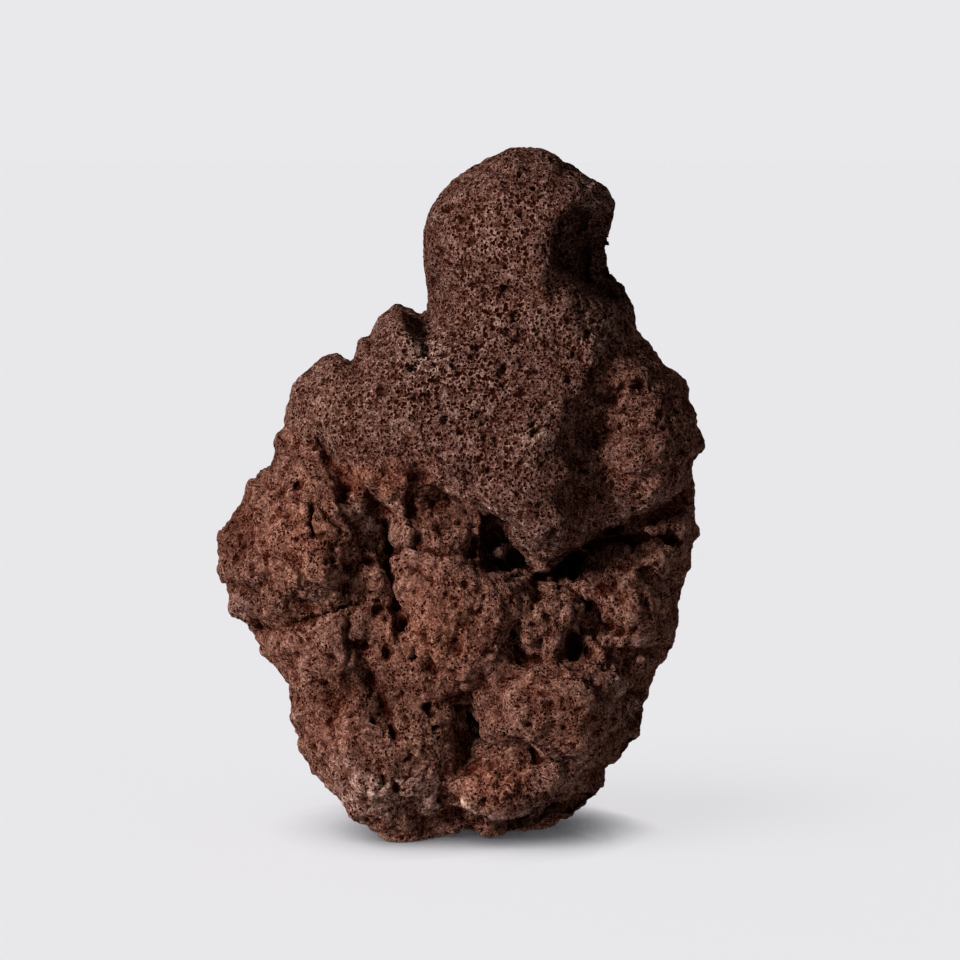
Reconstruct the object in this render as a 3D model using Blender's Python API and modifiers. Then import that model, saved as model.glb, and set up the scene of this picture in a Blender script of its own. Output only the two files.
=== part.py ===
"""A lump of red lava rock (scoria): one solid, standing on a small flat patch of its foot.

The stone is 341 mm tall. It is drawn in its own frame, in millimetres: x to the right, y away from
the viewer, z up, with the ground at z = 0. Rounded masses are fused into one body, the body is drawn
out to the stone's outline, ledges, hollows and crevices are pressed into its faces, and a rough
surface is raised over all of it. What is built in millimetres is scaled to metres at the end.
"""

import math

import bmesh
import bpy
import numpy as np
from mathutils import Euler, Matrix, Vector, noise

NAME = "lava_rock"
MM = 0.001

# How the stone's face is looked at: from a little above, from this far away.
SIGHT_TILT = math.radians(6.0)
SIGHT_DISTANCE = 1600.0
SIGHT_TARGET = Vector((10.0, 0.0, 175.5))

# Mesh fineness, in mm, how often the fused masses are smoothed, and the triangles that the finished
# solid may have.
FUSE_VOXEL = 2.5
SKIN_VOXEL = 2.2
FUSE_SMOOTHING = 14
TRIANGLES = 9000

# The outline as seen from the front, (x, z) in mm, from the right foot over the top to the left foot.
# It sets the stone's height and width.
OUTLINE = [
    (50, 4.5), (62.5, 13), (71, 22), (76, 33), (88, 43.5), (90, 48), (91, 63.5), (94, 69.5), (97, 79.5),
    (100, 86), (106.5, 95.5), (108, 102), (108.5, 108.5), (112, 124.5), (116, 144), (119, 150.5),
    (117.5, 164.5), (115.5, 177.5), (117, 181.5), (117.5, 186), (122, 188.5), (122, 194.5), (120, 206.5),
    (115.5, 213.5), (114, 220.5), (111.5, 225.5), (104, 231), (91.5, 244.5), (88, 251), (86.5, 262),
    (81, 272.5), (76, 278.5), (74, 287), (75.5, 293.5), (74.5, 298.5), (79.5, 303.5), (79.5, 310.5),
    (76, 318.5), (71.5, 323), (60, 329.5), (48.5, 337.5), (40, 340.5), (30, 341), (20, 337.5),
    (5, 330.5), (-7.5, 321), (-15, 309.5), (-18.5, 297), (-19.5, 282), (-18, 270.5), (-15.5, 263),
    (-16.5, 259.5), (-20.5, 257.5), (-24, 260), (-30, 262.5), (-34, 262.5), (-41, 255.5), (-45, 246.5),
    (-50, 245.5), (-54, 234.5), (-57.5, 235.5), (-60, 238), (-66.5, 237.5), (-71, 234.5), (-78.5, 228.5),
    (-85, 218), (-87.5, 201), (-93, 193), (-95, 182), (-105, 173), (-108.5, 165), (-115, 155),
    (-119, 151), (-122, 142), (-122, 129.5), (-119, 124), (-116, 121), (-114.5, 111), (-105, 99.5),
    (-101.5, 98), (-99, 88.5), (-88, 76.5), (-84, 63), (-84.5, 55.5), (-81.5, 51), (-80.5, 39.5),
    (-76, 32.5), (-65, 21.5), (-59, 15.5), (-55, 8), (-50, 5.5),
]
OUTLINE_CENTRE = (2.5, 134.5)
# The directions from the centre, in degrees, between which the foot is left as it is, how many
# directions the edge is fitted in, and how steeply the moves fade towards the centre.
OUTLINE_FOOT = math.radians(-112), math.radians(-70)
OUTLINE_SECTORS = 720
OUTLINE_FADE = 5

# The masses that the stone is fused from: name, centre (x, y, z), radii (x, y, z), both in mm, and its
# turn about y in degrees, clockwise as seen from the front.
MASSES = [
    ("core", (4, 4, 120), (92, 62, 98), 0),
    ("head", (29, 2, 292), (49, 44, 48), 0),
    ("neck", (33, 5, 256), (49, 44, 48), 0),
    ("upper_slab", (8, 0, 203), (98, 60, 60), 0),
    ("slab_tongue", (22, -26, 186), (50, 40, 66), -22),
    ("left_shoulder", (-60, 0, 207), (28, 42, 34), 20),
    ("left_nub", (-31, 2, 243), (17, 26, 20), 30),
    ("right_lobe", (80, -2, 193), (42, 46, 48), 0),
    ("right_flank", (72, 0, 128), (46, 50, 66), 8),
    ("left_lobe", (-74, -8, 144), (50, 52, 56), 12),
    ("left_lobe_foot", (-58, -6, 98), (48, 54, 52), 0),
    ("left_valley_floor", (-44, -12, 136), (36, 42, 54), 0),
    ("central_lump", (-4, -30, 108), (42, 36, 44), 15),
    ("lower_left", (-34, -8, 56), (50, 52, 60), 0),
    ("lower_right", (46, -14, 62), (48, 52, 46), 0),
    ("bottom_lump", (16, -20, 23), (38, 38, 27), 0),
    ("base", (0, 8, 30), (52, 50, 33), 0),
    ("left_foot", (-27, -22, 15), (25, 25, 24), 0),
    ("right_foot", (29, -2, 8), (23, 26, 14), 0),
    ("back_head", (34, 26, 284), (34, 30, 34), 0),
    ("back_neck", (20, 30, 236), (62, 42, 40), 12),
    ("back_shoulder", (-46, 26, 196), (44, 38, 44), 30),
    ("back_right_shoulder", (66, 28, 186), (46, 40, 52), 0),
    ("back_left", (-62, 28, 130), (46, 42, 50), 15),
    ("back_middle", (2, 40, 150), (54, 36, 58), -10),
    ("back_right", (54, 34, 108), (48, 42, 58), -12),
    ("back_lower", (-18, 36, 74), (56, 38, 52), 0),
]

# What is pressed into the face, as seen from the front. A groove follows points (x, z) and has its own
# reach to the left and to the right of the way that it runs, so one with a short reach on one side is
# a ledge. A dent is an ellipse, and its walls are steeper the higher its last number is. Depths and
# reaches are in mm, and a negative depth raises.
FRONT_GROOVES = [
    # name, points, reach on the left, reach on the right, depth
    ("under_tongue", [(-8, 165), (14, 160), (24, 152), (32, 143), (37, 134), (46, 131), (56, 136)],
     3.5, 14, 24),
    ("under_right_lobe", [(56, 136), (66, 146), (80, 152), (96, 154), (108, 166), (116, 172)], 3.5, 10, 13),
    ("under_slab", [(-50, 168), (-40, 164), (-24, 168), (-8, 165)], 4, 8, 4),
    ("right_facet", [(74, 236), (62, 214), (54, 196), (52, 178), (46, 158)], 30, 10, 4),
    ("left_crevice", [(-38, 156), (-36, 140), (-37, 130), (-31, 112), (-27, 101), (-22, 88), (-6, 75)],
     5, 5, 9),
    ("left_hollow", [(-46, 162), (-46, 144), (-50, 120), (-56, 98)], 8, 12, 4),
    ("left_seam", [(-92, 192), (-78, 187), (-70, 195), (-64, 184), (-58, 168)], 5, 5, 4),
    ("left_ledge", [(-88, 109), (-78, 109), (-69, 113), (-60, 115)], 3, 6, 3),
    ("left_chip", [(-104, 118), (-101, 112), (-100, 104), (-102, 98)], 3, 9, 5),
    ("column_ledge", [(-36, 138), (-20, 139), (4, 137)], 8, 3, 6),
    ("lower_crevice", [(2, 64), (5, 54), (14, 46), (28, 41), (40, 36), (56, 35)], 3, 9, 12),
    ("right_crevice", [(50, 128), (58, 120), (64, 112), (72, 102)], 7, 6, 9),
    ("right_seam", [(92, 134), (100, 126), (109, 118)], 4, 5, 5),
    ("right_flank_edge", [(66, 96), (80, 82), (86, 72), (82, 58), (80, 44)], 16, 4, 7),
    ("curl", [(27, 101), (28, 93), (32, 87), (40, 85)], 3, 6, 7),
    ("bottom_ledge", [(-10, 5), (6, 0), (24, -1), (40, 4), (54, 14), (66, 28)], 2.5, 9, 14),
]
FRONT_DENTS = [
    # name, centre (x, z), radii (x, z), turn in degrees, depth, steepness
    ("scoop", (85, 279), (38, 20), -20, 30, 3.0),
    ("tongue_cave", (16, 139), (17, 11), -20, 14, 1.5),
    ("side_pit", (56, 92), (10, 12), 0, 10, 2.0),
    ("lower_pit", (5, 54), (7, 9), 0, 7, 1.5),
    ("left_knob", (-76, 146), (24, 26), 0, -4, 1.5),
    ("lower_swell", (44, 62), (30, 18), -10, -7, 1.5),
    ("base_swell", (16, 22), (26, 12), 0, -6, 1.5),
    ("right_swell", (94, 182), (20, 14), 30, -5, 1.5),
    ("flank_swell", (94, 106), (15, 16), 0, -5, 2.0),
]

# The same for the back, drawn as if seen through the stone from the front.
BACK_GROOVES = [
    ("back_crevice", [(-84, 186), (-52, 172), (-30, 182), (-2, 174), (18, 158), (44, 164), (90, 150)],
     4, 9, 9),
    ("back_fissure", [(10, 158), (0, 128), (14, 100), (4, 76), (16, 44)], 4, 9, 8),
    ("back_ledge", [(-88, 104), (-64, 88), (-36, 92), (-10, 70)], 3, 10, 8),
    ("neck_fold", [(-12, 262), (10, 250), (40, 258), (74, 262)], 9, 5, 6),
    ("shoulder_ledge", [(-40, 236), (-16, 214), (22, 218), (58, 204), (84, 218)], 4, 8, 6),
]
BACK_DENTS = [
    ("back_hollow", (-24, 204), (22, 16), 15, 8, 2.0),
    ("back_pit", (52, 190), (13, 10), 0, 9, 2.0),
    ("back_dish", (64, 86), (18, 22), 0, 7, 2.0),
    ("back_low_pit", (-34, 60), (14, 11), 20, 7, 2.0),
    ("back_swell", (-56, 134), (24, 20), 0, -6, 1.5),
    ("back_high_swell", (30, 292), (20, 18), 0, -4, 1.5),
]

# The rough surface: wave length in mm, height in mm, and whether it is ridged or rounded.
ROUGHNESS = [
    (60.0, 5.0, "rounded"),
    (30.0, 3.4, "ridged"),
    (13.0, 1.6, "rounded"),
]
# The slab from the head down to its lower edge is smoother: by how much, and how high it starts.
SLAB_CALM = 0.45
SLAB_START = 150.0, 185.0

# Nothing pressed in from the front or the back goes further than this past the stone's middle, in mm,
# and it starts in full where the face is turned this far towards the viewer.
PAST_MIDDLE = 4.0
FULL_FACING = 0.35
COLOUR = (0.105, 0.045, 0.032, 1.0)


def clear_scene():
    for obj in list(bpy.data.objects):
        bpy.data.objects.remove(obj)


def collection_named(name):
    made = bpy.data.collections.new(name)
    bpy.context.scene.collection.children.link(made)
    return made


def rock_material():
    material = bpy.data.materials.new("red_scoria")
    material.use_nodes = True
    shader = material.node_tree.nodes["Principled BSDF"]
    shader.inputs["Base Color"].default_value = COLOUR
    shader.inputs["Roughness"].default_value = 0.95
    shader.inputs["Metallic"].default_value = 0.0
    return material


def add_mass(bm, centre, radii, turn):
    """One ellipsoid of the fused body."""
    place = Matrix.LocRotScale(Vector(centre), Euler((0, math.radians(turn), 0)), Vector(radii))
    bmesh.ops.create_icosphere(bm, subdivisions=4, radius=1.0, matrix=place)


def keep_modified_mesh(obj):
    """Makes the mesh that the object's modifiers give its own, and drops the modifiers."""
    graph = bpy.context.evaluated_depsgraph_get()
    made = bpy.data.meshes.new_from_object(obj.evaluated_get(graph))
    obj.modifiers.clear()
    obj.data = made


def remesh(obj, voxel):
    modifier = obj.modifiers.new("fuse", "REMESH")
    modifier.mode = "VOXEL"
    modifier.voxel_size = voxel
    keep_modified_mesh(obj)


def relax(obj, rounds):
    modifier = obj.modifiers.new("relax", "SMOOTH")
    modifier.factor = 0.5
    modifier.iterations = rounds
    keep_modified_mesh(obj)


def points_of(mesh):
    points = np.empty(len(mesh.vertices) * 3)
    mesh.vertices.foreach_get("co", points)
    return points.reshape(-1, 3)


def normals_of(mesh):
    normals = np.empty(len(mesh.vertices) * 3)
    mesh.vertex_normals.foreach_get("vector", normals)
    return normals.reshape(-1, 3)


def set_points(mesh, points):
    mesh.vertices.foreach_set("co", points.ravel())
    mesh.update()


def smooth_step(low, high, values):
    t = np.clip((values - low) / (high - low), 0.0, 1.0)
    return t * t * (3.0 - 2.0 * t)


def seen_from_front(points):
    """Where points show, (x, z) in mm, on a sheet square to the line of sight through the target."""
    away = points - np.array(SIGHT_TARGET)
    sideways = away[:, 0]
    upward = away[:, 2] * math.cos(SIGHT_TILT) + away[:, 1] * math.sin(SIGHT_TILT)
    depth = away[:, 1] * math.cos(SIGHT_TILT) - away[:, 2] * math.sin(SIGHT_TILT)
    nearer = SIGHT_DISTANCE / (SIGHT_DISTANCE + depth)
    return np.stack([
        sideways * nearer + SIGHT_TARGET.x,
        upward * nearer + SIGHT_TARGET.z * math.cos(SIGHT_TILT),
    ], axis=1)


def outline_reach(angles):
    """How far the outline lies from its centre in each direction, in mm."""
    outline = np.array(OUTLINE) - np.array(OUTLINE_CENTRE)
    steps = np.linspace(0.0, 1.0, 12, endpoint=False)[:, None]
    fine = np.concatenate([a + (b - a) * steps for a, b in zip(outline[:-1], outline[1:])])
    fine_angles = np.unwrap(np.arctan2(fine[:, 1], fine[:, 0]))
    order = np.argsort(fine_angles)
    lowest = fine_angles[order][0]
    turned = lowest + (angles - lowest) % (2 * math.pi)
    return np.interp(turned, fine_angles[order], np.hypot(*fine.T)[order])


def draw_out_to_outline(obj, rounds):
    """Moves what shows at the body's edge onto the outline, and what lies further in less and less."""
    middles = (np.arange(OUTLINE_SECTORS) + 0.5) / OUTLINE_SECTORS * 2 * math.pi - math.pi
    held = (middles > OUTLINE_FOOT[0]) & (middles < OUTLINE_FOOT[1])
    for _ in range(rounds):
        points = points_of(obj.data)
        shown = seen_from_front(points) - np.array(OUTLINE_CENTRE)
        angles = np.arctan2(shown[:, 1], shown[:, 0])
        reach = np.hypot(*shown.T)
        sector = ((angles + math.pi) / (2 * math.pi) * OUTLINE_SECTORS).astype(int) % OUTLINE_SECTORS
        edge = np.zeros(OUTLINE_SECTORS)
        np.maximum.at(edge, sector, reach)
        change = np.where(held | (edge == 0), 0.0, outline_reach(middles) - edge)
        share = np.clip(reach / edge[sector], 0.0, 1.0) ** OUTLINE_FADE
        move = np.interp(angles, middles, change, period=2 * math.pi) * share
        points[:, 0] += move * np.cos(angles)
        points[:, 2] += move * np.sin(angles)
        set_points(obj.data, points)


def groove_depth(shown, route, reach_left, reach_right):
    """From 0 to 1, how deep each point lies in a groove along the route."""
    nearest = np.full(len(shown), np.inf)
    side = np.ones(len(shown))
    route = np.array(route, float)
    for a, b in zip(route[:-1], route[1:]):
        along = b - a
        t = np.clip((shown - a) @ along / (along @ along), 0.0, 1.0)
        off = shown - (a + t[:, None] * along)
        distance = np.hypot(*off.T)
        closer = distance < nearest
        turned = along[0] * (shown[:, 1] - a[1]) - along[1] * (shown[:, 0] - a[0])
        nearest = np.where(closer, distance, nearest)
        side = np.where(closer, np.sign(turned), side)
    reach = np.where(side > 0, reach_left, reach_right)
    return np.exp(-((nearest / reach) ** 2))


def dent_depth(shown, centre, radii, turn, steepness):
    """From 0 to 1, how deep each point lies in an elliptical dent."""
    off = shown - np.array(centre, float)
    c, s = math.cos(math.radians(turn)), math.sin(math.radians(turn))
    across = (off[:, 0] * c + off[:, 1] * s) / radii[0]
    up = (-off[:, 0] * s + off[:, 1] * c) / radii[1]
    return np.exp(-((across**2 + up**2) ** steepness))


def press(obj, grooves, dents, from_front):
    """Presses grooves and dents straight into the front, along the line of sight, or into the back."""
    points = points_of(obj.data)
    inward = np.array([0.0, 1.0, -math.tan(SIGHT_TILT)]) if from_front else np.array([0.0, -1.0, 0.0])
    facing = -(normals_of(obj.data) @ inward)
    shown = seen_from_front(points) if from_front else points[:, [0, 2]]
    depth = np.zeros(len(points))
    for _, route, reach_left, reach_right, deepest in grooves:
        depth += deepest * groove_depth(shown, route, reach_left, reach_right)
    for _, centre, radii, turn, deepest, steepness in dents:
        depth += deepest * dent_depth(shown, centre, radii, turn, steepness)
    depth *= smooth_step(0.0, FULL_FACING, facing)
    room = PAST_MIDDLE - points[:, 1] * inward[1]
    depth = np.where(depth > 0, np.clip(room, 0.0, depth.clip(0)), depth)
    set_points(obj.data, points + depth[:, None] * inward)


def roughen(obj, wave, height, kind):
    """Raises and lowers the surface along its normals by noise of one wave length."""
    points = points_of(obj.data)
    normals = normals_of(obj.data)
    raised = np.empty(len(points))
    for i, point in enumerate(points):
        place = Vector(point) / wave
        if kind == "ridged":
            raised[i] = 0.5 - abs(noise.noise(place)) * 2.0
        else:
            raised[i] = noise.noise(place)
    front = smooth_step(0.0, 0.5, -normals[:, 1])
    on_slab = front * smooth_step(*SLAB_START, seen_from_front(points)[:, 1])
    raised *= 1.0 - (1.0 - SLAB_CALM) * on_slab
    set_points(obj.data, points + (height * raised)[:, None] * normals)


def thin_out(obj, triangles):
    """Reduces the mesh to at most this many triangles."""
    obj.data.calc_loop_triangles()
    modifier = obj.modifiers.new("thin out", "DECIMATE")
    modifier.ratio = triangles / len(obj.data.loop_triangles)
    modifier.use_collapse_triangulate = True
    keep_modified_mesh(obj)


def stand_on_ground(obj):
    """Cuts the foot flat at z = 0."""
    bm = bmesh.new()
    bm.from_mesh(obj.data)
    cut = bmesh.ops.bisect_plane(
        bm,
        geom=bm.verts[:] + bm.edges[:] + bm.faces[:],
        dist=1e-4,
        plane_co=(0, 0, 0),
        plane_no=(0, 0, -1),
        clear_outer=True,
    )
    rims = [item for item in cut["geom_cut"] if isinstance(item, bmesh.types.BMEdge)]
    bmesh.ops.holes_fill(bm, edges=rims, sides=0)
    bmesh.ops.triangulate(bm, faces=bm.faces[:])
    bmesh.ops.recalc_face_normals(bm, faces=bm.faces[:])
    bm.to_mesh(obj.data)
    bm.free()


def centre_on_origin(obj):
    """Moves the body level, so that its box stands centred over the origin."""
    points = points_of(obj.data)
    middle = (points.min(axis=0) + points.max(axis=0)) / 2
    middle[2] = 0.0
    set_points(obj.data, points - middle)


def build_rock():
    bm = bmesh.new()
    for _, centre, radii, turn in MASSES:
        add_mass(bm, centre, radii, turn)
    mesh = bpy.data.meshes.new(NAME)
    bm.to_mesh(mesh)
    bm.free()
    rock = bpy.data.objects.new(NAME, mesh)
    collection_named(NAME + "_parts").objects.link(rock)
    remesh(rock, FUSE_VOXEL)
    relax(rock, FUSE_SMOOTHING)
    draw_out_to_outline(rock, rounds=3)
    remesh(rock, FUSE_VOXEL)
    press(rock, FRONT_GROOVES, FRONT_DENTS, from_front=True)
    press(rock, BACK_GROOVES, BACK_DENTS, from_front=False)
    remesh(rock, SKIN_VOXEL)
    for wave, height, kind in ROUGHNESS:
        roughen(rock, wave, height, kind)
    draw_out_to_outline(rock, rounds=2)
    remesh(rock, SKIN_VOXEL)
    thin_out(rock, TRIANGLES)
    stand_on_ground(rock)
    centre_on_origin(rock)
    rock.data.transform(Matrix.Scale(MM, 4))
    rock.data.materials.clear()
    rock.data.materials.append(rock_material())
    return rock


clear_scene()
build_rock()
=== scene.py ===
"""The looks of a lump of red lava rock (scoria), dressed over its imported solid.

The stone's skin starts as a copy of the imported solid. It is smoothed, then cracked, pitted and
crumbled in layers, all worked out here. While the skin is shaped, lengths are in millimetres. Places
on the stone's face are (x, z) in mm on a sheet square to the line of sight, with the ground at z = 0,
as the part's own outline and grooves are. The stone faces -Y.
"""

import itertools
import math

import bmesh
import bpy
import numpy as np
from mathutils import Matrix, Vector


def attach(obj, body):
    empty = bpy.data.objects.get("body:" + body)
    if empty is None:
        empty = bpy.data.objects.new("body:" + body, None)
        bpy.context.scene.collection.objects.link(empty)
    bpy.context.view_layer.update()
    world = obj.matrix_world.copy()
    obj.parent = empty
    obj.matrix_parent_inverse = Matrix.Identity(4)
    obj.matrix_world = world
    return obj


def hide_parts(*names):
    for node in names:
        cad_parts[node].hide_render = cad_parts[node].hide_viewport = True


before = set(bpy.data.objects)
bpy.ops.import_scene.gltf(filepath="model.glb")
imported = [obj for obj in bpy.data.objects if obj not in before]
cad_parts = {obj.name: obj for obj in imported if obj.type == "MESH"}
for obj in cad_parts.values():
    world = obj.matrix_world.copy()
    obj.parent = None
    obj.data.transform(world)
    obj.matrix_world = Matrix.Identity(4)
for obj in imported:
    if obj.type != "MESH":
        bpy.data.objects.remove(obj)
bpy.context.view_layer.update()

MM = 0.001

# The camera looks down a little on the stone, from this far away, and sees this much at the stone.
SIGHT_TILT = math.radians(6.0)
SIGHT_DISTANCE = 1600.0
SIGHT_TARGET = np.array((10.0, 0.0, 175.5))
SIGHT_WIDTH = 480.0
SENSOR_WIDTH = 36.0

# Fineness of the skin, in mm, and the most triangles that it may have.
SMOOTHING_VOXEL = 1.4
SMOOTHING_ROUNDS = 7
STROKE_VOXEL = 0.9
SKIN_VOXEL = 0.72
TRIANGLES = 194000
FACE_SHARE = 3.0

# How many rounds of smoothing tell the skin's relief from its broad shape, and the most relief, in mm.
RELIEF_ROUNDS = 40
RELIEF_MOST = 4.0

# The outline as seen from the front, (x, z), from the right foot over the top to the left foot.
OUTLINE = [
    (50, 4.5), (57.5, 8.5), (65, 14.5), (71, 22), (73, 27), (76, 33), (80, 36), (88, 43.5), (90, 48),
    (90.5, 57), (91.5, 64.5), (94, 69.5), (97, 80.5), (100, 86), (106.5, 95.5), (108, 102),
    (108.5, 108.5), (110, 116.5), (112, 124.5), (114, 134.5), (116, 144), (118.5, 146.5), (119, 150.5),
    (118.5, 157), (117.5, 164.5), (115.5, 173.5), (115.5, 178.5), (117, 181.5), (117.5, 186.5),
    (122, 188.5), (122, 194.5), (119.5, 204.5), (120, 206.5), (115, 214.5), (114, 221.5),
    (111.5, 225.5), (104, 231), (97.5, 239.5), (91.5, 244.5), (88, 251), (87.5, 256.5), (86.5, 262),
    (84, 268), (81, 272.5), (78.5, 274.5), (76, 278.5), (74, 284.5), (74, 289.5), (75.5, 293.5),
    (74.5, 298.5), (77.5, 300.5), (79.5, 303.5), (79.5, 310.5), (76.5, 316), (75.5, 319.5),
    (71.5, 323), (66, 325.5), (60, 329.5), (51, 334.5), (48.5, 337.5), (40, 340.5), (30, 341),
    (24, 340), (20, 337.5), (12.5, 335), (5, 330.5), (-2.5, 326), (-7.5, 321), (-11.5, 315.5),
    (-15, 309.5), (-17, 304.5), (-19, 294.5), (-19.5, 280.5), (-18, 270.5), (-17.5, 265.5),
    (-15.5, 263), (-16.5, 259.5), (-20.5, 257.5), (-24, 260), (-27.5, 260.5), (-30, 262.5),
    (-34, 262.5), (-41, 255.5), (-45, 246.5), (-50, 245.5), (-51.5, 242), (-54, 234.5),
    (-57.5, 235.5), (-60, 238), (-66.5, 237.5), (-71, 234.5), (-78.5, 228.5), (-83, 223.5),
    (-85, 218), (-86.5, 209.5), (-87.5, 201), (-90.5, 198), (-93, 193), (-93.5, 186), (-95, 182),
    (-99, 178.5), (-101.5, 174.5), (-105, 173), (-108.5, 165), (-112.5, 160.5), (-115, 155),
    (-119, 151), (-121.5, 148), (-122, 142), (-122, 129.5), (-119, 124), (-116, 121), (-115.5, 116),
    (-114.5, 111), (-110, 105.5), (-105, 99.5), (-101.5, 98), (-101, 94.5), (-99, 88.5), (-91, 82),
    (-88, 76.5), (-85.5, 69.5), (-84, 63), (-84.5, 55.5), (-81.5, 51), (-81.5, 44.5), (-80, 38.5),
    (-76, 32.5), (-69, 27), (-65, 21.5), (-60, 16), (-57.5, 11.5), (-53.5, 7), (-47.5, 3.5),
]
OUTLINE_CENTRE = np.array((2.5, 134.5))
OUTLINE_FOOT = math.radians(-111.0), math.radians(-70.0)

# How finely the edge is fitted to the outline, how far it may move at once, and how steeply the moves
# fade inwards.
OUTLINE_SECTORS = 720
OUTLINE_MOST = 3.0
OUTLINE_FADE = 10

# The frothy slab lies above the first line, and is less frothy right of the second.
SLAB_EDGE = [
    (-100, 204), (-85, 198), (-58, 184), (-40, 185), (-20, 176), (0, 174), (12, 166), (31, 144),
    (45, 131), (62, 141), (78, 152), (104, 158), (118, 172),
]
SLAB_RIDGE = [(43, 130), (46, 160), (49, 200), (60, 225), (78, 245), (100, 266), (140, 290)]

# Cracks and ledges on the face: points, reach to the left and right of the way that the line runs, and
# depth. A short reach on one side makes a ledge, equal ones a crack, and a negative depth a ridge.
FRONT_LINES = [
    # the overhanging slab's lower edge, and the gap under its tongue
    ([(45, 130.5), (50, 133.5), (57.5, 138), (66, 146), (72, 148.5), (78.5, 151.5)], 0.8, 8, 8),
    ([(78.5, 151.5), (87, 155.5), (94, 158.5), (104, 164), (115, 171)], 0.8, 8, 8),
    ([(10.5, 133), (36, 129.5), (48, 124), (57.5, 118.5), (65, 113)], 2.4, 3.6, 8),
    ([(-4, 165), (2, 160), (8, 157)], 2.4, 3.0, 7),
    ([(-24, 159), (-18, 151), (-20, 144)], 2.0, 2.0, 4),
    ([(6, 158), (8, 147), (8, 137)], 1.4, 3.0, 4),
    # the crevice left of the middle column, and the column's upper ledge
    ([(-38, 153), (-36, 141.5), (-37, 130), (-34, 123.5), (-31, 112.5), (-29, 101)], 2.2, 2.6, 9),
    ([(-28, 101), (-23.5, 93.5), (-22.5, 86.5)], 2.0, 2.0, 7),
    ([(-48, 88), (-45, 78), (-40, 66), (-35, 54)], 8, 7, 8),
    ([(-18, 85), (-13.5, 80), (-9, 79)], 1.6, 1.8, 5),
    ([(-6, 77), (-1, 74), (1, 68)], 1.5, 1.5, 5),
    ([(-35, 137), (-28, 138.5), (-21.5, 138)], 3.2, 1.2, 6),
    ([(-21.5, 138), (-5, 136.5), (6.5, 137)], 2.5, 0.8, 4),
    # the left lobe
    ([(-70.5, 195.5), (-68.5, 189), (-66, 184.5)], 1.4, 1.4, 5),
    ([(-90, 191), (-80, 193), (-72, 190)], 1.2, 1.2, 2),
    ([(-74.5, 161), (-75, 154), (-73.5, 147.5)], 1.6, 1.4, 5),
    ([(-87, 101), (-80, 103), (-73.5, 106), (-59, 111.5)], 0.9, 2.6, 5),
    ([(-104.5, 117.5), (-101, 112.5), (-99.5, 105), (-101.5, 99)], 1.2, 3.5, 5),
    ([(-87, 137), (-86, 127), (-83, 117)], 0.9, 1.6, 1.8),
    ([(-82, 139), (-81, 129), (-79, 121)], 0.9, 1.6, 1.8),
    ([(-66, 186), (-60, 176), (-57, 166)], 2.0, 2.0, 4),
    # the right flank
    ([(49.5, 120.5), (50, 112), (51, 101.5)], 1.5, 1.7, 7),
    ([(63, 115), (69, 109), (74, 101.5)], 3.4, 3.0, 7),
    ([(62, 224), (50.5, 203), (48.5, 191), (54, 179), (45, 165), (50, 156)], 2.0, 18, -8),
    ([(94.5, 130), (102, 125.5), (110.5, 120)], 1.4, 3.0, 6),
    ([(86.5, 91), (96, 92), (105.5, 95.5)], 0.9, 6, 5),
    ([(66, 95.5), (79.5, 83), (85.5, 73.5), (82.5, 59), (80.5, 44.5)], 14, 1.0, 5),
    ([(80, 121), (83, 110), (81, 100)], 1.0, 5, 3),
    # ragged layers on the right lobe
    ([(82, 197.5), (97, 199), (107, 195)], 0.9, 2.6, 1.8),
    ([(90, 181), (103, 188), (114, 192)], 0.9, 3.0, 1.8),
    ([(90, 172.5), (108.5, 181), (115, 183.5)], 0.9, 2.6, 1.6),
    ([(84, 186), (92, 189), (99, 192)], 0.8, 2.0, 1.2),
    ([(75, 179.5), (90, 176), (100, 178)], 0.8, 2.4, 1.6),
    ([(70, 207), (85, 211), (99, 209)], 0.9, 3.0, 1.8),
    ([(62, 171), (74, 166), (90, 164)], 0.9, 2.6, 1.8),
    # the curl beside the middle, and the lower crevice
    ([(25.5, 99), (29, 91), (34.5, 86), (39, 85)], 1.1, 1.8, 6),
    ([(0, 61), (5, 57), (4, 49.5), (10, 47), (20, 43), (27.5, 42), (40, 36), (52, 35.5)], 1.0, 3.8, 8),
    ([(3, 58), (5, 50), (12, 47), (22, 43), (30, 41), (40, 37), (50, 36)], 1.5, 1.5, 7),
    ([(57.5, 58.5), (62.5, 60)], 1.0, 1.0, 3),
    ([(42.5, 37), (56, 35), (70, 35)], 1.8, 1.8, -1.8),
    # the orange lump's rim over the feet
    ([(-6, 17), (-1, 13), (10, 6), (20, 4.5), (30, 5.5), (40, 12)], 0.8, 5, 7),
    ([(32, 7), (40, 12), (50, 16), (57, 20), (64, 26)], 0.9, 9, 6),
    # the ridge that runs down from the head to the right lobe
    ([(44, 262), (56, 250), (65, 238.5), (70, 226)], 9, 5, -2.5),
    ([(10, 332), (16, 331), (22, 328)], 2.2, 2.2, 5),
    # the rim of the scoop in the head, to its left and below
    ([(60, 314), (49.5, 305), (45, 293), (44, 281)], 0.9, 14, -4),
    ([(44, 281), (49.5, 280.5), (61, 273), (72, 266), (82, 261)], 0.9, 8, -3),
]

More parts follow.
